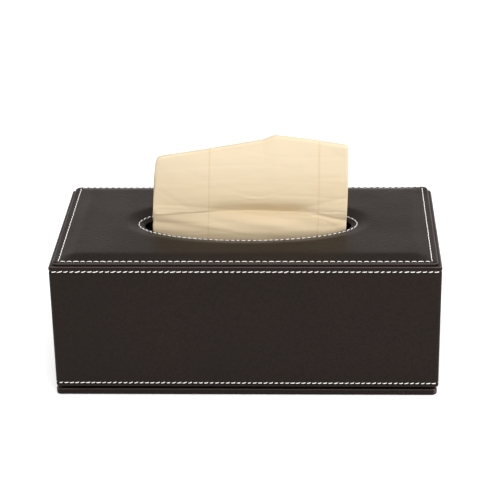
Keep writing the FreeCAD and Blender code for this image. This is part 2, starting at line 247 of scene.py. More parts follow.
def new_piece(name, points, faces, material, body=None, replaces=(), slot=None, smooth=True):
    """Mesh object from points and faces, riding on its body."""
    mesh = bpy.data.meshes.new(name)
    mesh.from_pydata(np.asarray(points).reshape(-1, 3), [], faces)
    mesh.polygons.foreach_set("use_smooth", np.full(len(mesh.polygons), smooth))
    mesh.materials.append(material)
    mesh.update()
    piece = new_object(name, mesh)
    if body:
        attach(piece, body)
    if replaces:
        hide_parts(*replaces)
    return piece


def set_attribute(piece, name, values):
    """Store one number for each point of a piece."""
    layer = piece.data.attributes.new(name, "FLOAT", "POINT")
    layer.data.foreach_set("value", np.asarray(values, np.float32).ravel())


def set_flat(piece, flat):
    """Store each point's place (u, v) on the paper laid flat, in metres."""
    layer = piece.data.uv_layers.new(name="flat")
    corner = np.empty(len(piece.data.loops), np.int32)
    piece.data.loops.foreach_get("vertex_index", corner)
    layer.data.foreach_set("uv", flat.reshape(-1, 2)[corner].ravel())


def side_axes(side):
    """Direction along a side of a rectangle, counted anticlockwise from the front, and outward."""
    turn = side * math.pi / 2
    return (math.cos(turn), math.sin(turn)), (math.sin(turn), -math.cos(turn))


def loop_stations(half, radius, step, corner_steps=8):
    """Stations round a rounded rectangle, anticlockwise from the front left corner. Each keeps its
    side's tangent and normal, its share along the straight part, its angle into the corner, its place
    from the side's middle and its distance after the last corner."""
    corner = np.linspace(0, math.pi / 2, corner_steps + 1)[1:-1]
    parts = []
    for side in range(4):
        run = half[side % 2] - radius
        straight = np.linspace(-1, 1, max(2, round(2 * run / step)) + 1)
        share = np.append(straight, np.ones(len(corner)))
        angle = np.append(np.zeros(len(straight)), corner)
        axes = [np.tile(axis, (len(share), 1)) for axis in side_axes(side)]
        parts.append((*axes, np.full(len(share), side % 2), share, angle, share * run, share * run + run))
    return Stations(*(np.concatenate(part) for part in zip(*parts)))


def loop_points(stations, half, radius, inset):
    """Points (x, y) at the stations of a rounded rectangle drawn in by each inset: the straight
    parts shorten, and the corners keep the radius that is left."""
    inset = np.asarray(inset, float).reshape(-1, 1)
    left = np.maximum(radius - inset, LEAST_R)
    run, off = np.where(stations.side == 0, half[:, None], half[::-1, None])
    along = stations.share * (run - inset - left) + left * np.sin(stations.angle)
    out = off - inset - left + left * np.cos(stations.angle)
    return along[..., None] * stations.tangent + out[..., None] * stations.normal


def carried(section, half, radius, step):
    """Section of points (inset, height) carried round a rounded rectangle: its stations, the points
    (x, y) and the heights."""
    stations = loop_stations(half, radius, step)
    xy = loop_points(stations, half, radius, section[:, 0])
    return stations, xy, np.repeat(section[:, 1:], xy.shape[1], axis=1)


def lifted(flat, height):
    """Rows of points (x, y) set at each row's height."""
    return np.dstack([flat, np.zeros(flat.shape[:2]) + np.reshape(height, (-1, 1))])


def station_normals(stations):
    """Outward directions (x, y) at the stations."""
    angle = stations.angle[:, None]
    return stations.normal * np.cos(angle) + stations.tangent * np.sin(angle)


def corner_pleat(stations):
    """Fold of the leather at each corner: a step up part of the way round, that fades after it."""
    step = ramp(stations.angle, PLEAT_START, PLEAT_RISE)
    return np.where(stations.angle > 0, step, np.exp(-stations.after / PLEAT_FADE))


def painted_highlight_line(tilt, lean):
    """Painted highlight along a rounded edge, where the leather leans back by about that many degrees."""
    return bell(tilt - math.radians(lean), width=math.radians(14))


def painted_pleat_highlight(stations, strength):
    """Painted highlight along the step of each corner's fold."""
    return strength * bell(stations.angle - PLEAT_HIGHLIGHT, width=0.16)


def corner_lift(x, y):
    """Fuller leather towards the lid's corners, most at the right of the back, as height over the seam."""
    near = ramp(np.abs(x), 100 * MM, 24 * MM) * ramp(np.abs(y), 48 * MM, 14 * MM)
    return np.where((x > 0) & (y > 0), 0.4 * MM, 0.1 * MM) * near


def pucker(along, pitch):
    """Share of the seam's depth along a stitch row: deepest at the needle holes between stitches."""
    return 0.7 + 0.3 * np.cos(2 * math.pi * along / pitch)


def unevenness(x, y, z, size, depth):
    """Slow waves of a hand-covered board: three crossed sines of about the given size."""
    wave = np.sin((x + 0.7 * z) / size + 0.4) + np.sin((y - 0.5 * x + z) / (0.7 * size) + 1.9)
    return depth * (wave + np.sin((0.6 * x + y - 0.8 * z) / (1.3 * size) + 3.1)) / 3


def leather_material(look):
    """Embossed polyurethane leather: a satin dark brown skin with a fine pebble grain. Real grain is
    about 0.6 mm; it is drawn at the size in the panel so that it just shows. Painted highlights make
    the edges' rounds paler."""
    name = "embossed_leather"
    if name in bpy.data.materials:
        return bpy.data.materials[name]
    material, tree = new_material(name)
    place = add(tree, "TexCoord").outputs["Object"]
    pebble = add(tree, "TexVoronoi", {"Vector": place, "Scale": 1 / look.grain}, feature="SMOOTH_F1")
    fine = add(tree, "TexNoise", {"Vector": place, "Scale": 2.2 / look.grain, "Detail": 3.0})
    patch = add(tree, "TexNoise", {"Vector": place, "Scale": 1 / (38 * MM), "Detail": 4.0})
    # Painted highlight: the attribute read here marks where highlights fall on the edges' rounds, and a
    # paler tone is mixed in there, broken up by fine noise
    painted_highlight = add(tree, "Attribute", attribute_name="painted_highlight").outputs["Fac"]
    shade = add(tree, "Mix", {0: patch, 6: look.shadow, 7: look.light}, data_type="RGBA")
    pit = add(tree, "MapRange", {"Value": pebble, "From Max": 0.8, "To Min": 1.25, "To Max": 0.7})
    tone = add(tree, "Mix", {0: 1.0, 6: shade, 7: pit}, data_type="RGBA", blend_type="MULTIPLY")
    highlight_share = add(tree, "Math", {0: painted_highlight, 1: fine}, operation="MULTIPLY")
    highlight_paint = add(tree, "Mix", {0: highlight_share, 6: tone, 7: look.highlight_paint}, data_type="RGBA")
    gloss = add(tree, "MapRange", {"Value": patch, "From Min": 0.3, "From Max": 0.7,
                                   "To Min": look.roughness - 0.05, "To Max": look.roughness + 0.06})
    grain = add(tree, "Math", {0: pebble, 1: fine}, operation="ADD")
    bump = add(tree, "Bump", {"Height": grain, "Strength": 0.6, "Distance": 0.2 * MM})
    skin = add(tree, "BsdfPrincipled", {
        "Base Color": highlight_paint, "Roughness": gloss, "Normal": bump, "IOR": 1.5,
        "Specular IOR Level": look.shine, "Specular Tint": look.sheen,
    })
    add(tree, "OutputMaterial", {"Surface": skin})
    return material


def fibre_material(name, size, dark, light, bump, finish, detail=6.0, tangle=0.0, specks=None):
    """Fibres about as far apart as the size: one noise gives both the two tones and the bump, a pair of
    strength and depth. Specks are darker spots about that far apart. The finish sets the shader."""
    material, tree = new_material(name)
    place = add(tree, "TexCoord").outputs["Object"]
    fibres = add(tree, "TexNoise", {
        "Vector": place, "Scale": 1 / size, "Detail": detail, "Distortion": tangle})
    tone = add(tree, "Mix", {0: fibres, 6: dark, 7: light}, data_type="RGBA")
    if specks:
        spots = add(tree, "TexVoronoi", {"Vector": place, "Scale": 1 / specks})
        shade = add(tree, "MapRange", {"Value": spots, "From Min": 0.05, "From Max": 0.3, "To Min": 0.6,
                                       "To Max": 1.0})
        tone = add(tree, "Mix", {0: 1.0, 6: tone, 7: shade}, data_type="RGBA", blend_type="MULTIPLY")
    raised = add(tree, "Bump", {"Height": fibres, "Strength": bump[0], "Distance": bump[1]})
    shader = add(tree, "BsdfPrincipled", {"Base Color": tone, "Normal": raised, **finish})
    add(tree, "OutputMaterial", {"Surface": shader})
    return material


def thread_material(look):
    """Bonded polyester thread: off-white, laid in two plies, with a soft sheen, and pale grey painted
    shade in its hollows.
    """
    return fibre_material("polyester_thread", 0.5 * MM, look.hollow, look.thread, (0.4, 0.05 * MM),
                          {"Roughness": 0.6, "IOR": 1.53, "Sheen Weight": 0.15}, detail=3.0)


def felt_material():
    """Needled polyester felt: matt near-black brown, a tangle of short fibres. Real ones lie about
    0.3 mm apart, and are drawn coarser so that they show."""
    return fibre_material("needled_felt", 0.9 * MM, linear("#15110F"), linear("#3A322D"), (0.6, 0.2 * MM),
                          {"Roughness": 0.95, "Sheen Weight": 0.3}, tangle=1.5)


def fibreboard_material():
    """Pressed wood fibreboard: tan, speckled with fibres and bark about 1.5 mm long."""
    return fibre_material("pressed_fibreboard", 1.5 * MM, linear("#8C6A45"), linear("#BE9A6B"),
                          (0.3, 0.1 * MM), {"Roughness": 0.8}, specks=3.0 * MM)


def metal_material(name, code, roughness, streak):
    """Plated or rolled steel: fine streaks along X about as wide as the given size."""
    material, tree = new_material(name)
    place = add(tree, "TexCoord").outputs["Object"]
    drawn = add(tree, "Mapping", {"Vector": place, "Scale": (0.05, 1.0, 1.0)})
    streaks = add(tree, "TexNoise", {"Vector": drawn, "Scale": 1 / streak, "Detail": 4.0})
    gloss = add(tree, "MapRange", {"Value": streaks, "To Min": roughness - 0.08, "To Max": roughness + 0.1})
    bump = add(tree, "Bump", {"Height": streaks, "Strength": 0.1, "Distance": 0.02 * MM})
    metal = add(tree, "BsdfPrincipled", {
        "Base Color": linear(code), "Metallic": 1.0, "Roughness": gloss, "Normal": bump,
    })
    add(tree, "OutputMaterial", {"Surface": metal})
    return material


def tissue_material(look):
    """Unbleached bamboo tissue: cream, creped across the sheet about every millimetre, with two rows
    of short crimp marks that hold the plies together. Thin enough to let light through."""
    name = "bamboo_tissue"
    if name in bpy.data.materials:
        return bpy.data.materials[name]
    material, tree = new_material(name)
    flat = add(tree, "UVMap", uv_map="flat")
    apart = add(tree, "SeparateXYZ", {0: flat}).outputs
    creped = add(tree, "Mapping", {"Vector": flat, "Scale": (0.22, 1.0, 1.0)})
    crepe = add(tree, "TexNoise", {"Vector": creped, "Scale": 1 / (1.6 * MM), "Detail": 4.0})
    pulp = add(tree, "TexNoise", {"Vector": flat, "Scale": 1 / (7.0 * MM), "Detail": 5.0})
    plain = add(tree, "Mix", {0: pulp, 6: look.pulp, 7: look.paper}, data_type="RGBA")
    # Painted shade: the fold tone is mixed in by the attribute that the sheet stores for its hollow and its
    # lower part
    deep = add(tree, "Attribute", attribute_name="deep").outputs["Fac"]
    tone = add(tree, "Mix", {0: deep, 6: plain, 7: look.fold}, data_type="RGBA")
    rows = []
    for place in (look.crimp_left, look.crimp_right):
        off = add(tree, "Math", {0: apart["X"], 1: place}, operation="SUBTRACT")
        away = add(tree, "Math", {0: off}, operation="ABSOLUTE")
        rows.append(add(tree, "MapRange", {"Value": away, "From Min": 0.45 * MM, "From Max": 0.8 * MM,
                                           "To Min": 1.0, "To Max": 0.0}))
    marks = add(tree, "Math", {0: rows[0], 1: rows[1]}, operation="MAXIMUM")
    beat = add(tree, "Math", {0: apart["Y"], 1: 2 * math.pi / look.crimp_pitch}, operation="MULTIPLY")
    wave = add(tree, "Math", {0: beat}, operation="SINE")
    dash = add(tree, "MapRange", {"Value": wave, "From Min": 0.0, "From Max": 0.6})
    crimp = add(tree, "Math", {0: marks, 1: dash}, operation="MULTIPLY")
    pressed = add(tree, "Mix", {0: crimp, 6: tone, 7: look.crimp}, data_type="RGBA")
    sunk = add(tree, "Math", {0: crimp, 1: -2.2}, operation="MULTIPLY")
    height = add(tree, "Math", {0: crepe, 1: sunk}, operation="ADD")
    bump = add(tree, "Bump", {"Height": height, "Strength": 0.35, "Distance": 0.15 * MM})
    paper = add(tree, "BsdfPrincipled", {
        "Base Color": pressed, "Roughness": 0.9, "Normal": bump,
        "Specular IOR Level": 0.2, "Sheen Weight": 0.1,
    })
    through = add(tree, "BsdfTranslucent", {"Color": pressed, "Normal": bump})
    mixed = add(tree, "MixShader", {0: 0.25, 1: paper, 2: through})
    add(tree, "OutputMaterial", {"Surface": mixed})
    return material


def wall_profile():
    """Closed section of the wall leather as (inset, height): out over the lower hem, up the face, over
    the rim and down the upper hem, then back along the board. Its rows lie closer near the stitches."""
    low, high = WALL_LOW.z, WALL_HIGH.z
    inner = 2 * LEATHER + BOARD
    board_in = LEATHER + BOARD
    r, foot = WALL_EDGE_R, WALL_FOOT_R
    near = 7.0 * MM
    return np.vstack([
        line((inner, low + HEM), (inner, low + LEATHER), 3)[:-1],
        arc((inner - LEATHER, low + LEATHER), LEATHER, 0, -90, 4),
        arc((foot, low + foot), foot, 270, 180, 8),
        line((0, low + foot), (0, low + near), 20)[1:],
        line((0, low + near), (0, high - near), 16)[1:],
        line((0, high - near), (0, high - r), 20)[1:-1],
        arc((r, high - r), r, 180, 90, 8),
        arc((inner - LEATHER, high - LEATHER), LEATHER, 90, 0, 4),
        line((inner, high - LEATHER), (inner, high - HEM), 3)[1:],
        line((board_in, high - HEM), (board_in, high - LEATHER), 1),
        line((LEATHER, high - LEATHER), (LEATHER, low + LEATHER), 1),
        line((board_in, low + LEATHER), (board_in, low + HEM), 1),
    ])


def make_wall_leather(material, seams):
    """Wall section carried round the box. The face sinks along both stitch rows, most at the needle
    holes, and swells a little between each row and its edge."""
    swell, pleat_out, pleat_up = 0.12 * MM, 0.12 * MM, 0.3 * MM
    pleat_deep, pleat_high = 3.2 * MM, 1.5 * MM
    section = wall_profile()
    inset, height = section.T
    stations, xy, z = carried(section, WALL_HALF, WALL_CORNER_R, step=1.05 * MM)
    push = unevenness(xy[..., 0], xy[..., 1], z, size=31 * MM, depth=0.10 * MM)
    for edge, row, pitch in ((WALL_HIGH.z, TOP_ROW, TOP_PITCH), (WALL_LOW.z, BOTTOM_ROW, BOTTOM_PITCH)):
        push = push - seams.depth * bell(z - row, FURROW) * pucker(stations.along, pitch)
        push = push + swell * bell(z - (edge + row) / 2, width=1.2 * MM)
    on_face = (inset < 1e-9)[:, None]
    folded = ((inset < pleat_deep) * ramp(height, WALL_HIGH.z - pleat_high, pleat_high))[:, None]
    step = folded * corner_pleat(stations)
    push = np.where(on_face, push, 0) + pleat_out * step
    points = np.dstack([xy + push[..., None] * station_normals(stations), z + pleat_up * step])
    piece = new_grid("wall_leather", points, (True, True), material, "cover", ["wall_wrap"], "leather")
    # Painted highlight: a paler line where the top edge's round leans back about 44 degrees, and along each
    # corner fold's step
    tilt = np.arctan2(height - WALL_HIGH.z + WALL_EDGE_R, WALL_EDGE_R - inset)
    painted_highlight = HIGHLIGHT_PAINT_STRENGTH * painted_highlight_line(tilt, lean=44) * ((inset < WALL_EDGE_R) & (tilt > 0))
    set_attribute(piece, "painted_highlight", painted_highlight[:, None] + folded * painted_pleat_highlight(stations, strength=1.6))


def angle_round(xy, half):
    """Angles of points round the middle of a rectangle, measured as if it were square."""
    return np.arctan2(xy[:, 1] / half[1], xy[:, 0] / half[0])


def slot_frame(angle):
    """Points on the slot seam's ellipse at the given angles, their outward normals, the length run to
    each of them and the whole length."""
    a, b = SLOT_SEAM
    points = np.column_stack([a * np.cos(angle), b * np.sin(angle)])
    normals = np.column_stack([b * np.cos(angle), a * np.sin(angle)])
    normals /= np.linalg.norm(normals, axis=1)[:, None]
    steps = np.hypot(a * np.sin(SLOT_ANGLES), b * np.cos(SLOT_ANGLES))
    length = np.append(0, np.cumsum((steps[1:] + steps[:-1]) / 2 * np.diff(SLOT_ANGLES)))
    within = (angle + math.pi) % (2 * math.pi) - math.pi
    return points, normals, np.interp(within, SLOT_ANGLES, length), length[-1]


def shoulder(share):
    """Ramp from 0 that levels off at 1 over a short rounded shoulder: s / (1 + s^12)^(1/12)."""
    share = np.clip(share, 0, 8)
    return share / (1 + share ** 12) ** (1 / 12)


def make_lid_cushion(material, lid, seams):
    """Lid leather over its foam, one closed form: under the hem, round the edge, across the padding,
    over the slot's lip, under the slot hem and back round the board. The padding rises from both
    seams as a ramp with a rounded shoulder, steepest beside the seam, and sinks along them. Outside
    the edge seam the leather rolls down to the edge as a superellipse, and turns under it as a
    quarter ellipse that leaves a dark crease over the rim. Inside the slot seam it slopes down to
    the lip."""
    hollow, hollow_run = 0.6 * MM, 5 * MM
    puff_back, puff_front = 0.3 * MM, 0.15 * MM
    behind_seam = 0.5 * MM
    seam_half = LID_HALF - LID_SEAM_IN
    stations = loop_stations(LID_HALF, LID_CORNER_R, step=1.5 * MM)
    board_low, board_top = LID_BOARD_LOW.z, LID_BOARD_HIGH.z
    lip_in = SLOT_LIP - LID_LIP_R
    lip_low = SEAM_LEVEL - lid.slot_sink - lid.lip_drop
    edge = loop_points(stations, LID_HALF, LID_CORNER_R, [0.0])[0]
    seam = loop_points(stations, seam_half, LID_SEAM_R, [0.0])[0]
    slot, slot_out, slot_along, slot_length = slot_frame(angle_round(seam, seam_half))
    slot_pitch = slot_length / int(slot_length / SLOT_PITCH)

    def ring(inset, height):
        """Loops round the lid, each drawn in by its inset and set at its height."""
        return lifted(loop_points(stations, LID_HALF, LID_CORNER_R, inset), height)

    def oval(out, height):
        """Loops round the slot, each that far outside its seam and set at its height."""
        return lifted(slot + np.reshape(out, (-1, 1, 1)) * slot_out, height)

    turn = np.linspace(math.pi / 2, 0, BAND_ROWS + 1)[1:]
    band_share = 1 - np.sin(turn) ** (2 / ROLL_POWER)
    pad_share = 0.5 - 0.5 * np.cos(np.pi * np.linspace(0, 1, PAD_ROWS + 1)[1:])
    lip_share = np.linspace(0, 1, LIP_ROWS + 1)[1:]
    flat = np.concatenate([
        edge + band_share[:, None, None] * (seam - edge),
        seam + pad_share[:, None, None] * (slot - seam),
        slot - lip_in * lip_share[:, None, None] * slot_out,
    ])
    within = np.zeros(PAD_ROWS + LIP_ROWS)
    roll = np.append(1 - np.cos(turn) ** (2 / ROLL_POWER), within)[:, None]
    puff = np.append(np.sin(np.pi * band_share), within)[:, None]
    dip = np.append(np.zeros(BAND_ROWS + PAD_ROWS), lip_share ** LIP_POWER)[:, None]

    x, y = flat[..., 0], flat[..., 1]
    from_side = np.stack([seam_half[0] - np.abs(x), seam_half[1] - np.abs(y)])
    from_edge = from_side.min(axis=0)
    level = np.hypot(x / SLOT_SEAM[0], y / SLOT_SEAM[1])
    slope = np.hypot(x / SLOT_SEAM[0] ** 2, y / SLOT_SEAM[1] ** 2) / level
    from_slot = (level - 1) / slope
    side_run = np.stack([np.full(x.shape, lid.edge_run), np.where(y > 0, lid.back_run, lid.edge_run)])
    edge_lift = shoulder(from_side / side_run).prod(axis=0)
    padding = edge_lift * shoulder(from_slot / lid.slot_run)
    edge_row = bell(from_edge, FURROW) * pucker(stations.along, LID_PITCH)
    slot_row = bell(from_slot, FURROW) * pucker(slot_along, slot_pitch)
    z = SEAM_LEVEL + (lid.crown + unevenness(x, y, 0, size=23 * MM, depth=0.12 * MM)) * padding
    z = z - hollow * edge_lift * np.exp(-np.maximum(from_edge, 0) / hollow_run)
    z = z - seams.depth * np.maximum(edge_row, slot_row)
    z = z - lid.slot_sink * (1 - ramp(from_slot, 0, lid.slot_run)) - lid.lip_drop * dip
    z = z - (SEAM_LEVEL - RIM - LID_FOOT[1]) * roll + corner_lift(x, y) * (1 - roll)
    z = z + puff * np.where(y > 0, puff_back, puff_front) * ramp(np.abs(y), 50 * MM, 10 * MM)

    foot = arc((1, 1), 1, 270, 180, 8) * LID_FOOT + np.array([0, RIM])
    under = [ring([LID_HEM], [board_low]), ring([LID_HEM, LID_HEM / 2], [RIM, RIM]), ring(*foot.T)]
    points = np.concatenate([
        *under,
        np.dstack([flat, z]),
        oval(*arc((-lip_in, lip_low - LID_LIP_R), LID_LIP_R, 90, 180, 6)[1:].T),
        oval([-SLOT_LIP], [RIM + 0.3 * LEATHER]),
        oval([-SLOT_LIP + LEATHER, SLOT_HEM - SLOT_LIP], [RIM, RIM]),
        oval([SLOT_HEM - SLOT_LIP, behind_seam, behind_seam],
             [board_low, board_low, board_top - lid.slot_sink]),
        ring([LEATHER, LEATHER], [board_top, board_low]),
    ])
    piece = new_grid("lid_cushion", points, (True, True), material, "cover", ["lid_leather", "lid_foam"],
                     "leather")
    before = sum(map(len, under))
    # Painted highlight: a paler line along the lower part of the rolled edge
    painted_highlight = np.zeros(points.shape[:2])
    painted_highlight[before:before + BAND_ROWS] = HIGHLIGHT_PAINT_STRENGTH * bell(turn - 1.2, width=0.22)[:, None]
    set_attribute(piece, "painted_highlight", painted_highlight)


def make_lid_panel(material):
    """Lid board: a flat panel, from its rounded outline to an oval opening just outside the slot seam."""
    radius, behind_seam = LID_CORNER_R - LEATHER, 0.6 * MM
    stations = loop_stations(LID_BOARD_HALF, radius, step=4 * MM, corner_steps=6)
    edge = loop_points(stations, LID_BOARD_HALF, radius, [0.0])[0]
    slot, slot_out, _, _ = slot_frame(angle_round(edge, LID_BOARD_HALF))
    opening = slot + behind_seam * slot_out
    low, high = LID_BOARD_LOW.z, LID_BOARD_HIGH.z
    points = lifted(np.stack([edge, edge, opening, opening]), [low, high, high, low])
    new_grid("lid_panel", points, (True, True), material, "cover", ["lid_board"], "fibreboard", smooth=False)


def make_flap_leather(material):
    """Flap section carried round the base: under the flap, round its edge and over to the felt, then
    back round the board. Two flat faces close the underside, one outside and one against the board."""
    r, top = FLAP_EDGE_R, FLAP_HIGH.z
    board_r = r - LEATHER
    board_low, board_top = FLAP_BOARD_LOW.z, FLAP_BOARD_HIGH.z
    middle, pleat_out = 25.0 * MM, 0.3 * MM
    section = np.vstack([
        line((middle, 0), (r, 0), 4)[:-1],
        arc((r, r), r, 270, 180, 8),
        arc((r, top - r), r, 180, 90, 8),
        line((FLAP_HEM / 2, top), (FLAP_HEM, top), 1),
        line((FLAP_HEM, board_top), (r, board_top), 1)[:-1],
        arc((r, board_top - board_r), board_r, 90, 180, 4),
        arc((r, board_low + board_r), board_r, 180, 270, 4),
        line((r, board_low), (middle, board_low), 1)[1:],
    ])
    inset, height = section.T
    stations, xy, z = carried(section, FLAP_HALF, FLAP_CORNER_R, step=2.5 * MM)
    side = ((inset < r) & (height > 0.5 * MM) & (height < top))[:, None]
    push = np.where(side, unevenness(xy[..., 0], xy[..., 1], z, size=19 * MM, depth=0.10 * MM), 0)
    push = push + pleat_out * side * corner_pleat(stations)
    xy = xy + push[..., None] * station_normals(stations)
    left_end = ramp(xy[..., 0], 12 * MM - FLAP_HALF[0], -8 * MM)
    xy[..., 0] -= FLAP_LEFT * left_end * (inset < 2 * r)[:, None]
    piece = new_grid("flap_leather", np.dstack([xy, z]), (False, True), material, "base_flap",
                     ["flap_cover"], "leather")
    # Painted highlight: a paler line along the top edge's round, and along each corner fold's step
    tilt = np.arctan2(height - top + r, r - inset)
    highlight_paint = 1.2 * HIGHLIGHT_PAINT_STRENGTH * painted_highlight_line(tilt, lean=58) * ((inset < r) & (height > top - r))
    set_attribute(piece, "painted_highlight", highlight_paint[:, None] + side * painted_pleat_highlight(stations, strength=1.2))


def make_hinge_band(material):
    """Leather band down the back wall, over its rounded hem and the groove, and down the flap's edge.
    Its section runs along X, and it stands a hair proud of the leather that it is sewn to."""
    proud, thick = 0.18 * MM, 0.6 * MM
    wall, flap = WALL_HIGH.y, FLAP_HIGH.y
    bend = WALL_LOW.z + WALL_EDGE_R
    outer = np.vstack([
        line((wall + proud - thick, HINGE_HIGH.z), (wall + proud, HINGE_HIGH.z - 0.15 * MM), 1),
        line((wall + proud, HINGE_HIGH.z - 0.5 * MM), (wall + proud, bend), 10),
        arc((wall - WALL_EDGE_R, bend), WALL_EDGE_R + proud, 0, -62, 6)[1:],
        line((flap + proud, FLAP_HIGH.z - 0.5 * MM), (flap + proud, FLAP_EDGE_R), 4),
        arc((flap - FLAP_EDGE_R, FLAP_EDGE_R), FLAP_EDGE_R + 0.4 * proud, 0, -50, 3)[1:],
    ])
    loop = np.vstack([outer, (outer - np.array([thick, 0]))[::-1]])
    x = np.linspace(HINGE_LOW.x, HINGE_HIGH.x, HINGE_COLUMNS)
    points = np.dstack(np.broadcast_arrays(x, loop[:, :1], loop[:, 1:]))
    piece = new_grid("hinge_band", points, (True, False), material, None, ["hinge_strip"], "leather")
    set_attribute(piece, "painted_highlight", np.zeros(points.shape[:2]))
    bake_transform(piece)


def stitch_form(length, width, proud):
    """One stitch about its middle: a two-ply thread that comes up out of the leather, bows over it by
    proud * (1 - 1.7 t^4) and goes back in. Rings of eight points; the plies turn one and a half times."""
    rings, sides = 9, 8
    sunk, groove, turns, tall = 0.1 * MM, 0.13, 1.5, 0.38
    t = np.linspace(-1, 1, rings)[:, None]
    turn = np.linspace(0, 2 * math.pi, sides, endpoint=False)[None, :]
    swell = np.sqrt(np.clip(1.04 - t ** 2, 0.04, 1)) ** 0.5
    ply = 1 + groove * np.cos(2 * turn - turns * 2 * math.pi * t)
    along = length / 2 * t + 0 * turn
    across = width / 2 * swell * ply * np.cos(turn)
    up = proud * (1 - 1.7 * t ** 4) - sunk + width * tall * swell * ply * np.sin(turn)
    return np.stack([along, across, up], axis=-1).reshape(-1, 3), grid_faces(rings, sides, False, True)


def make_stitch_row(name, row, slant, proud, width, material):
    """The stitch form set at every centre, turned by the slant, with small steady differences."""
    centres, along, out, pitch = row
    count = len(centres)
    chance = np.random.default_rng(count)
    form, faces = stitch_form(pitch - STITCH_SPACE, width, proud)
    side = np.cross(out, along)
    slant = (slant + np.radians(chance.normal(0, SLANT_SPREAD, count)))[:, None]
    long_way = along * np.cos(slant) + side * np.sin(slant)
    cross_way = side * np.cos(slant) - along * np.sin(slant)
    stretch = (1 + chance.normal(0, LENGTH_SPREAD, count))[:, None, None]
    points = (centres[:, None] + stretch * form[:, 0:1] * long_way[:, None]
              + form[:, 1:2] * cross_way[:, None] + form[:, 2:3] * out[:, None])
    new_piece(name, points, repeated_faces(faces, len(form), count), material,
              "cover", [name.replace("_thread", "_stitching")], "thread")


def rectangle_row(half, margin, pitch, level, out_of_wall):
    """Centres, directions and outward normals of stitches along four sides, clear of the corners."""
    centres, along, out = [], [], []
    for side in range(4):
        run = 2 * half[side % 2] - 2 * margin
        count = int(run / pitch)
        place = (np.arange(count) - (count - 1) / 2) * run / count
        tangent, normal = (np.array([*axis, 0]) for axis in side_axes(side))
        centres.append(place[:, None] * tangent + half[1 - side % 2] * normal + np.array([0, 0, level]))
        along.append(np.tile(tangent, (count, 1)))
        out.append(np.tile(normal if out_of_wall else (0.0, 0.0, 1.0), (count, 1)))
    return np.vstack(centres), np.vstack(along), np.vstack(out), pitch


def slot_row(level):
    """Centres, directions and normals of stitches at even steps along the slot seam."""
    _, _, run, length = slot_frame(SLOT_ANGLES[:-1])
    count = int(length / SLOT_PITCH)
    angle = np.interp(length * (np.arange(count) + 0.5) / count, np.append(run, length), SLOT_ANGLES)
    points, normals, _, _ = slot_frame(angle)
    centres = np.column_stack([points, np.full(count, level)])
    along = np.column_stack([-normals[:, 1], normals[:, 0], np.zeros(count)])
    return centres, along, np.tile((0.0, 0.0, 1.0), (count, 1)), SLOT_PITCH


def make_stitches(look, lid):
    """Four rows of stitches: two round the walls, one round the lid's edge and one round the slot."""
    thread = thread_material(look)
    edge = rectangle_row(LID_HALF - LID_SEAM_IN, LID_ROW_END, LID_PITCH, SEAM_LEVEL, False)
    edge[0][:, 2] += corner_lift(edge[0][:, 0], edge[0][:, 1])
    top = rectangle_row(WALL_HALF, WALL_ROW_END, TOP_PITCH, TOP_ROW, True)
    bottom = rectangle_row(WALL_HALF, WALL_ROW_END, BOTTOM_PITCH, BOTTOM_ROW, True)
    # Each row with its share of the slant and of the stitches' stand
    rows = {
        "wall_top_thread": (top, 1.0, 1.0),
        "wall_bottom_thread": (bottom, 1.0, 1.0),
        "lid_edge_thread": (edge, 0.2, 1.1),
        "slot_thread": (slot_row(SEAM_LEVEL - lid.slot_sink), 0.4, 1.1),
    }
    for name, (row, slant, proud) in rows.items():
        make_stitch_row(name, row, slant * look.slant, proud * look.proud, look.width, thread)


def sheet_hollow(p):
    """Share of the crease's depth across the sheet: drawn in from the middle to the right, less on the
    left, and not at the ends."""
    return ramp(p, -0.55, 0.3) * ramp(p, 0.70, -0.3) * (0.5 + 0.5 * ramp(p, -0.3, 0.5))


def sheet_surface():
    """Surface of the drawn-up tissue. Across, p runs from -1 to 1; along, a smooth line passes the
    stack, the throat of the slot, the puff, the crease, the belly, the fold and the tail."""
    p = np.linspace(-1, 1, SHEET_COLUMNS)
    top = RIM + np.interp(p, RIDGE_PLACES, RIDGE_HEIGHTS) * MM
    bulge = 1 - 0.35 * p ** 2
    hollow = sheet_hollow(p)
    crease = RIM + (13.6 - 0.6 * p + 0.5 * np.sin(6 * p + 2.2)) * MM
    fold = 2.4 * MM
    y_mm = [-2.0, -6.0, -9.4 * bulge, -9.8 * bulge, -8.9 * bulge, -6.8 + 1.8 * hollow, -6.4 + 2.4 * hollow,
            -6.6 + 2.1 * hollow, -8.2 * bulge, -7.4 * bulge, -5.8 * bulge]
    z = [STACK_HIGH.z, RIM - 20 * MM, RIM - 3 * MM, RIM + 2 * MM, RIM + 7 * MM, crease - 0.9 * MM, crease,
         crease + 1.3 * MM, crease + 9 * MM, 0.55 * crease + 0.45 * top, 0.25 * crease + 0.75 * top - 2 * MM]
    y = [value * MM for value in y_mm]
    for turn in np.radians([0, 35, 70, 110, 145, 180]):
        y.append(-fold * np.cos(turn) - 0.8 * MM)
        z.append(top - fold + fold * np.sin(turn))
    for drop, back in TAIL:
        y.append((back + np.sin(3.1 * p + 0.3 * drop / 14)) * MM)
        z.append(top - (drop + 0.8 * np.cos(4 * p)) * MM)
    y, z = even_curve(*(np.array([value + 0 * p for value in values]) for values in (y, z)))
    lean = np.interp(p, [-1, 1], [0.050, 0.020])
    height = np.clip((z - RIM) / (58 * MM), 0, 1)
    bow = np.maximum(p, 0) ** 2 * (0.4 + 0.5 * np.sin(np.pi * height)) * MM
    middle = (SHEET_HIGH.x + SHEET_LOW.x) / 2
    return p, middle + STACK_HIGH.x * p + bow + lean * np.maximum(z - RIM, 0), y, z


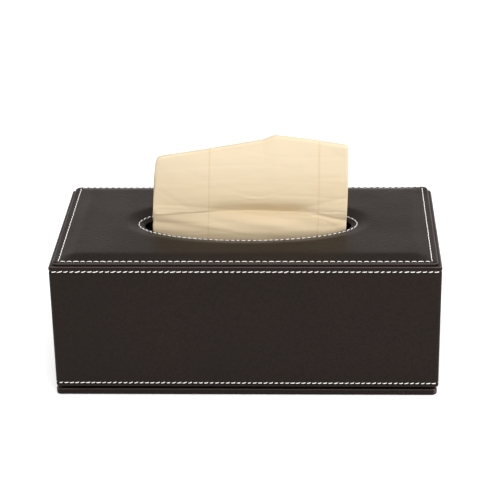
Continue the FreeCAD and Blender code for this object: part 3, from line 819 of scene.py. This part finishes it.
def even_curve(y, z):
    """Catmull-Rom curve through each column of control points, resampled at even length."""
    control = np.stack([y, z], axis=-1)
    padded = np.concatenate([2 * control[:1] - control[1:2], control, 2 * control[-1:] - control[-2:-1]])
    t = np.linspace(0, len(y) - 1, CURVE_SAMPLES)
    k = np.minimum(t.astype(int), len(y) - 2)
    f = (t - k)[:, None, None]
    a, b, c, d = (padded[k + shift] for shift in range(4))
    dense = 0.5 * (2 * b + (c - a) * f + (2 * a - 5 * b + 4 * c - d) * f ** 2
                   + (3 * b - a - 3 * c + d) * f ** 3)
    step = np.linalg.norm(np.diff(dense, axis=0), axis=-1)
    length = np.concatenate([np.zeros((1, step.shape[1])), np.cumsum(step, axis=0)])
    goal = np.linspace(0, 1, SHEET_ROWS)
    even = [[np.interp(goal * run[-1], run, values) for run, values in zip(length.T, axis)]
            for axis in dense.T]
    return np.array(even).transpose(0, 2, 1)


def sheet_creases(p, y, z):
    """Small wrinkles pressed into the front of the sheet, in y: a sharp line on the left, a slanting one
    on the right, a short curved one, soft waves, and crumple lines (1 - |sin|)^4 that cross at slight
    angles and fade towards the fold."""
    height = (z - RIM) / MM
    across = p[None, :] + 0 * height
    above = height - 14.6 - 3.8 * (across + 0.42)
    left = -ramp(above, -0.45, 0.9) * np.exp(-np.maximum(above, 0) / 5) * ramp(across, -0.34, -0.14)
    slant = 11.0 - 16 * (across - 0.72)
    right = 0.8 * bell(height - slant, 1.2) * ramp(across, 0.6, 0.15)
    low = 0.30 * np.sin(9 * across + 0.55 * height) * bell(height - 6, 5)
    smile = -0.45 * bell(height - 24.5 - 60 * (across - 0.08) ** 2, 0.9) * bell(across - 0.08, 0.14)
    faint = 0.05 * np.sin(0.55 * height + 7 * across) * np.sin(11 * across - 0.2 * height)
    broad = 0.8 * np.sin(2.4 * across + 0.5) * ramp(height, 0, 10)
    crumple = 0 * height
    for turn, rise, shift, depth in CRUMPLES:
        wave = turn * across + rise * height + shift + 0.5 * np.sin(3.1 * across + shift)
        patch = 0.5 + 0.5 * np.sin(2.3 * across + 0.11 * height + 2.1 * shift)
        crumple = crumple + depth * patch * (1 - np.abs(np.sin(wave))) ** 4
    crumple = crumple * (0.45 + 0.55 * ramp(height, 36, -18)) * ramp(height, 62, -12)
    return y + (left + right + low + smile + faint + broad + crumple) * MM


def make_tissue_sheet(look):
    """Drawn-up tissue: the creased surface, given a paper's thickness. Its front has painted shade: a
    deeper tone in the hollow over the crease, and a little deeper towards the slot."""
    p, x, y, z = sheet_surface()
    points = np.dstack([x, sheet_creases(p, y, z), z])
    piece = new_grid("tissue_sheet_paper", points, (False, False), tissue_material(look), "top_sheet",
                     ["tissue_sheet"], "tissue")
    height = (z - RIM) / MM
    in_front = np.arange(SHEET_ROWS)[:, None] < z.argmax(axis=0)
    # Painted shade: deeper in the hollow over the crease, and towards the slot
    shade = 0.45 * bell(height - 17 + 2 * p, 4.5) * sheet_hollow(p)
    shade = shade + 0.20 * ramp(height, 48, -20) + 0.04 * ramp(height, 13, -5)
    set_attribute(piece, "deep", np.clip(shade * in_front, 0, 1))
    step = np.linalg.norm(np.diff(points, axis=0), axis=-1).mean(axis=1)
    along = np.append(0, np.cumsum(step))
    set_flat(piece, np.dstack(np.meshgrid(p * STACK_HIGH.x, along)))
    solid = piece.modifiers.new("paper", "SOLIDIFY")
    solid.thickness = look.thickness
    solid.offset = 0


def make_tissue_stack(look):
    """Pile of folded tissues: flat rounded loops laid on each other, each a little out of line and
    pinched at its two ends."""
    slack, filled, pattern_shift = 0.45, 0.985, np.array([0, 0.3])
    chance = np.random.default_rng(LAYERS)
    size = np.array(STACK_HIGH) - np.array(STACK_LOW)
    thick = size[2] / LAYERS
    right = arc((size[1] / 2 - thick / 2, 0), thick / 2, -90, 90, 4)
    loop = np.vstack([right, -right])[::-1]
    x = np.array([-1.0, -0.96, -0.5, 0.0, 0.5, 0.96, 1.0]) * size[0] / 2
    pinch = np.array([0.86, 0.97, 1, 1, 1, 0.97, 0.86]) * filled
    shift = chance.uniform(-slack, 0.0, (LAYERS, 2))[..., None, None] * MM
    points = np.empty((LAYERS, len(loop), len(x), 3))
    points[..., 0] = x + shift[:, 0] * np.sign(x)
    points[..., 1] = loop[:, :1] * (1 + shift[:, 1] / size[1])
    points[..., 2] = loop[:, 1:] * pinch + STACK_LOW.z + (np.arange(LAYERS)[:, None, None] + 0.5) * thick
    faces = repeated_faces(grid_faces(len(loop), len(x), True, False), len(loop) * len(x), LAYERS)
    piece = new_piece("tissue_stack_paper", points, faces, tissue_material(look),
                      "tissue_stack", ["tissue_stack"], "tissue")
    set_flat(piece, points[..., :2] + pattern_shift)
    set_attribute(piece, "deep", np.zeros(points.shape[:3]))


def ray_of(tree, *kinds):
    """1 where a ray is of one of those kinds, and 0 elsewhere."""
    path = add(tree, "LightPath").outputs
    found = path[kinds[0]]
    for kind in kinds[1:]:
        found = add(tree, "Math", {0: found, 1: path[kind]}, operation="MAXIMUM").outputs[0]
    return found


def make_floor(look):
    """White floor that keeps the object's shadow, a matt sweep lifted to white where it is seen."""
    material, tree = new_material("white_sweep")
    seen = ray_of(tree, "Is Camera Ray", "Is Glossy Ray", "Is Transmission Ray")
    lift = add(tree, "Math", {0: seen, 1: look.floor_lift}, operation="MULTIPLY")
    matt = add(tree, "BsdfDiffuse", {"Color": linear("#F4F4F4")})
    glow = add(tree, "Emission", {"Color": (1, 1, 1, 1), "Strength": lift})
    both = add(tree, "AddShader", {0: matt, 1: glow})
    add(tree, "OutputMaterial", {"Surface": both})
    corners = np.array([(-1, -1, 0), (1, -1, 0), (1, 1, 0), (-1, 1, 0)]) * FLOOR_REACH
    floor = new_piece("floor", corners - np.array([0, 0, FLOOR_DROP]), [(0, 1, 2, 3)], material)


def make_light(look):
    """White surroundings and four soft lamps, each with its place, goal, size, power and tint. The front
    lamp leaves no reflection."""
    world = bpy.data.worlds.new("studio")
    bpy.context.scene.world = world
    world.use_nodes = True
    tree = world.node_tree
    tree.nodes.clear()
    seen = ray_of(tree, "Is Camera Ray", "Is Transmission Ray")
    fill, shown = (add(tree, "Background", {"Color": (1, 1, 1, 1), "Strength": strength})
                   for strength in (look.fill, 1.0))
    add(tree, "OutputWorld", {"Surface": add(tree, "MixShader", {0: seen, 1: fill, 2: shown})})
    lamps = [
        ("top_softbox", (0.0, 0.1, 1.5), (0.0, 0.0, 0.0), (0.9, 0.9), look.top_power, "#FFFFFF"),
        ("front_softbox", (0.35, -1.6, 0.95), (0.0, 0.0, 0.1), (2.0, 1.2), look.front_power, "#FFFFFF"),
        ("back_softbox", (0.0, 1.7, 0.62), (0.0, 0.0, 0.15), (3.0, 1.1), look.back_power, "#FFF2EA"),
        ("side_softbox", (1.5, -0.5, 0.5), (0.0, 0.0, 0.05), (0.8, 1.0), look.side_power, "#FFFFFF"),
    ]
    for name, place, goal, size, power, tint in lamps:
        lamp = bpy.data.lights.new(name, "AREA")
        lamp.shape = "RECTANGLE"
        lamp.size, lamp.size_y = size
        lamp.energy = power
        lamp.color = linear(tint)[:3]
        turn = (Vector(place) - Vector(goal)).to_track_quat("Z", "Y")
        holder = new_object(name, lamp)
        holder.matrix_world = Matrix.Translation(place) @ turn.to_matrix().to_4x4()
        holder.visible_camera = False
        holder.visible_glossy = name != "front_softbox"


def make_camera():
    """Camera of the photographed view, turned by its roll, its pitch from level and its yaw."""
    camera = bpy.data.cameras.new("camera")
    camera.lens = CAMERA_LENS_MM
    camera.sensor_width = CAMERA_SENSOR_MM
    camera.clip_end = 50.0
    matrix = Matrix.Translation(CAMERA_PLACE)
    for angle, axis in ((CAMERA_YAW, "Z"), (math.pi / 2 - CAMERA_PITCH, "X"), (CAMERA_ROLL, "Z")):
        matrix = matrix @ Matrix.Rotation(angle, 4, axis)
    holder = new_object("camera", camera)
    holder.matrix_world = matrix
    scene = bpy.context.scene
    scene.camera = holder
    scene.view_settings.view_transform = "Standard"


def length(name, description, metres):
    """Length property in metres."""
    return FloatProperty(name=name, description=description, default=metres, precision=5,
                         subtype="DISTANCE", unit="LENGTH")


def share(name, description, part):
    """Property from 0 to 1."""
    return FloatProperty(name=name, description=description, default=part, min=0, max=1, subtype="FACTOR")


def power(name, description, watts):
    """Power property in watts."""
    return FloatProperty(name=name, description=description, default=watts, min=0,
                         subtype="POWER", unit="POWER")


def colour(name, description, code):
    """Colour property whose default is an sRGB hex code."""
    return FloatVectorProperty(name=name, description=description, default=linear(code), size=4,
                               subtype="COLOR", min=0, max=1)


def group(name, kind):
    """Pointer to a group of settings."""
    return PointerProperty(name=name, description=f"{name} settings", type=kind)


class COVER_PG_leather(bpy.types.PropertyGroup):
    """Leather of the walls, lid, flap and hinge band."""
    grain: length("Grain", "Size of one pebble of the grain", 1.3 * MM)
    roughness: share("Roughness", "Roughness of the skin", 0.36)
    shine: share("Shine", "Strength of the skin's reflection", 0.13)
    sheen: colour("Reflection tint", "Warmth of the skin's reflection", "#FFF1E8")
    shadow: colour("Dark tone", "Darker tone of the leather", "#17110F")
    light: colour("Light tone", "Lighter tone of the leather", "#1E1714")
    # Painted highlight: the paler tone laid along the edges' rounds where light catches them
    highlight_paint: colour("Worn tone", "Tone of the rubbed edges", "#6C605C")


class COVER_PG_lid(bpy.types.PropertyGroup):
    """Padding of the lid."""
    crown: length("Crown", "Height of the padding over its seams", 2.0 * MM)
    edge_run: length("Edge run", "Distance over which the padding rises from the edge seam", 9.5 * MM)
    back_run: length("Back run", "Distance over which the padding rises from the back seam", 6 * MM)
    slot_run: length("Slot run", "Distance over which the padding rises from the slot seam", 9 * MM)
    slot_sink: length("Slot sink", "Depth of the slot seam below the edge seam", 0.4 * MM)
    lip_drop: length("Lip drop", "Fall of the lip from the slot seam to the slot", 1.15 * MM)


class COVER_PG_stitches(bpy.types.PropertyGroup):
    """Thread, stitches and the seams that they sink."""
    depth: length("Seam depth", "Depth of the seam at a needle hole", 0.35 * MM)
    width: length("Thread width", "Width of the thread", 0.64 * MM)
    proud: length("Stand", "Height of a stitch over the leather", 0.35 * MM)
    slant: FloatProperty(name="Slant", description="Turn of a stitch out of its row",
                         default=math.radians(10), subtype="ANGLE")
    thread: colour("Thread", "Colour of the thread", "#FFFDF8")
    # Painted shade: the pale grey put where the thread's bump is low
    hollow: colour("Thread hollows", "Colour between the plies", "#E8E3DA")


class COVER_PG_tissue(bpy.types.PropertyGroup):
    """Tissue paper and the drawn-up sheet."""
    thickness: length("Thickness", "Thickness of the plies together", 0.15 * MM)
    sheet_width: length("Sheet width", "Width of the sheet laid flat", 133 * MM)
    sheet_length: length("Sheet length", "Length of the whole sheet laid flat", 195 * MM)
    crimp_left: length("Left crimp", "Place of the left row of crimp marks", -28.2 * MM)
    crimp_right: length("Right crimp", "Place of the right row of crimp marks", 46.7 * MM)
    crimp_pitch: length("Crimp pitch", "Distance between crimp marks", 1.8 * MM)
    paper: colour("Paper", "Cooler tone of the paper", "#E6D8BE")
    pulp: colour("Pulp", "Warmer tone of the paper, in patches", "#EAD9B9")
    # Painted shade: the tone given to the sheet where its folds lie in shade
    fold: colour("Fold tone", "Tone of the paper deep in its folds", "#E3C795")
    crimp: colour("Crimp", "Tone of the crimp marks", "#DFC697")


class COVER_PG_stage(bpy.types.PropertyGroup):
    """Light around the object."""
    floor_lift: FloatProperty(name="Floor lift", description="Light added to the floor where it is seen",
                              default=0.36, min=0)
    fill: FloatProperty(name="Fill", description="Strength of the light from all round", default=0.34, min=0)
    top_power: power("Top lamp", "Power of the lamp overhead", 11)
    front_power: power("Front lamp", "Power of the lamp in front", 31)
    back_power: power("Back lamp", "Power of the lamp behind", 6.3)
    side_power: power("Side lamp", "Power of the lamp on the right", 9)


class COVER_PG_settings(bpy.types.PropertyGroup):
    """All settings of the cover."""
    leather: group("Leather", COVER_PG_leather)
    lid: group("Lid", COVER_PG_lid)
    stitches: group("Stitch", COVER_PG_stitches)
    tissue: group("Tissue", COVER_PG_tissue)
    stage: group("Stage", COVER_PG_stage)


class COVER_OT_walls(bpy.types.Operator):
    """Make the leather of the walls"""
    bl_idname = "cover.walls"
    bl_label = "Wall leather"

    def execute(self, context):
        look = context.scene.tissue_cover
        make_wall_leather(leather_material(look.leather), look.stitches)
        return {"FINISHED"}


class COVER_OT_lid(bpy.types.Operator):
    """Make the padded lid"""
    bl_idname = "cover.lid"
    bl_label = "Lid cushion"

    def execute(self, context):
        look = context.scene.tissue_cover
        make_lid_cushion(leather_material(look.leather), look.lid, look.stitches)
        return {"FINISHED"}


class COVER_OT_flap(bpy.types.Operator):
    """Make the leather of the base flap"""
    bl_idname = "cover.flap"
    bl_label = "Flap leather"

    def execute(self, context):
        make_flap_leather(leather_material(context.scene.tissue_cover.leather))
        return {"FINISHED"}


class COVER_OT_hinge(bpy.types.Operator):
    """Make the leather band that joins the flap to the back wall"""
    bl_idname = "cover.hinge"
    bl_label = "Hinge band"

    def execute(self, context):
        make_hinge_band(leather_material(context.scene.tissue_cover.leather))
        return {"FINISHED"}


class COVER_OT_stitches(bpy.types.Operator):
    """Make the four rows of stitches"""
    bl_idname = "cover.stitches"
    bl_label = "Stitch rows"

    def execute(self, context):
        look = context.scene.tissue_cover
        make_stitches(look.stitches, look.lid)
        return {"FINISHED"}


class COVER_OT_sheet(bpy.types.Operator):
    """Make the tissue that is drawn up through the slot"""
    bl_idname = "cover.sheet"
    bl_label = "Drawn-up tissue"

    def execute(self, context):
        make_tissue_sheet(context.scene.tissue_cover.tissue)
        return {"FINISHED"}


class COVER_OT_stack(bpy.types.Operator):
    """Make the pile of folded tissues"""
    bl_idname = "cover.stack"
    bl_label = "Tissue pile"

    def execute(self, context):
        make_tissue_stack(context.scene.tissue_cover.tissue)
        return {"FINISHED"}


class COVER_OT_inside(bpy.types.Operator):
    """Make the lid board, and finish the frame's boards, linings, magnets and plates"""
    bl_idname = "cover.inside"
    bl_label = "Boards and linings"

    def execute(self, context):
        board = fibreboard_material()
        finishes = {
            board: ["front_board", "back_board", "left_board", "right_board", "flap_board"],
            felt_material(): ["front_lining", "back_lining", "left_lining", "right_lining", "lid_lining",
                              "flap_lining"],
            metal_material("nickel_plate", "#B9B4A8", 0.25, 0.4 * MM): ["wall_magnets"],
            metal_material("rolled_steel", "#8E8F90", 0.42, 0.8 * MM): ["strike_plates"],
        }
        make_lid_panel(board)
        for material, names in finishes.items():
            for name in names:
                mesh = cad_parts[name].data
                mesh.materials.clear()
                mesh.materials.append(material)
        return {"FINISHED"}


class COVER_OT_stage(bpy.types.Operator):
    """Make the floor, light and camera"""
    bl_idname = "cover.stage"
    bl_label = "Stage"

    def execute(self, context):
        look = context.scene.tissue_cover.stage
        make_floor(look)
        make_light(look)
        make_camera()
        return {"FINISHED"}


OPERATORS = (COVER_OT_stage, COVER_OT_walls, COVER_OT_lid, COVER_OT_flap, COVER_OT_hinge, COVER_OT_stitches,
             COVER_OT_sheet, COVER_OT_stack, COVER_OT_inside)
GROUPS = (COVER_PG_leather, COVER_PG_lid, COVER_PG_stitches, COVER_PG_tissue, COVER_PG_stage)


class COVER_PT_panel(bpy.types.Panel):
    """Sidebar panel with the cover's settings and pieces"""
    bl_idname = "COVER_PT_panel"
    bl_label = "Tissue Cover"
    bl_space_type = "VIEW_3D"
    bl_region_type = "UI"
    bl_category = "Tissue Cover"

    def draw(self, context):
        look = context.scene.tissue_cover
        for name in COVER_PG_settings.__annotations__:
            box = self.layout.box()
            box.label(text=name.capitalize())
            settings = getattr(look, name)
            for setting in settings.__annotations__:
                box.prop(settings, setting)
        for operator in OPERATORS:
            self.layout.operator(operator.bl_idname)


CLASSES = (*GROUPS, COVER_PG_settings, *OPERATORS, COVER_PT_panel)


def register():
    for kind in CLASSES:
        bpy.utils.register_class(kind)
    bpy.types.Scene.tissue_cover = group("Tissue cover", COVER_PG_settings)


def unregister():
    del bpy.types.Scene.tissue_cover
    for kind in reversed(CLASSES):
        bpy.utils.unregister_class(kind)


def main():
    """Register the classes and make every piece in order."""
    register()
    bpy.ops.cover.stage()
    bpy.ops.cover.walls()
    bpy.ops.cover.lid()
    bpy.ops.cover.flap()
    bpy.ops.cover.hinge()
    bpy.ops.cover.stitches()
    bpy.ops.cover.sheet()
    bpy.ops.cover.stack()
    bpy.ops.cover.inside()


if __name__ == "__main__":
    main()
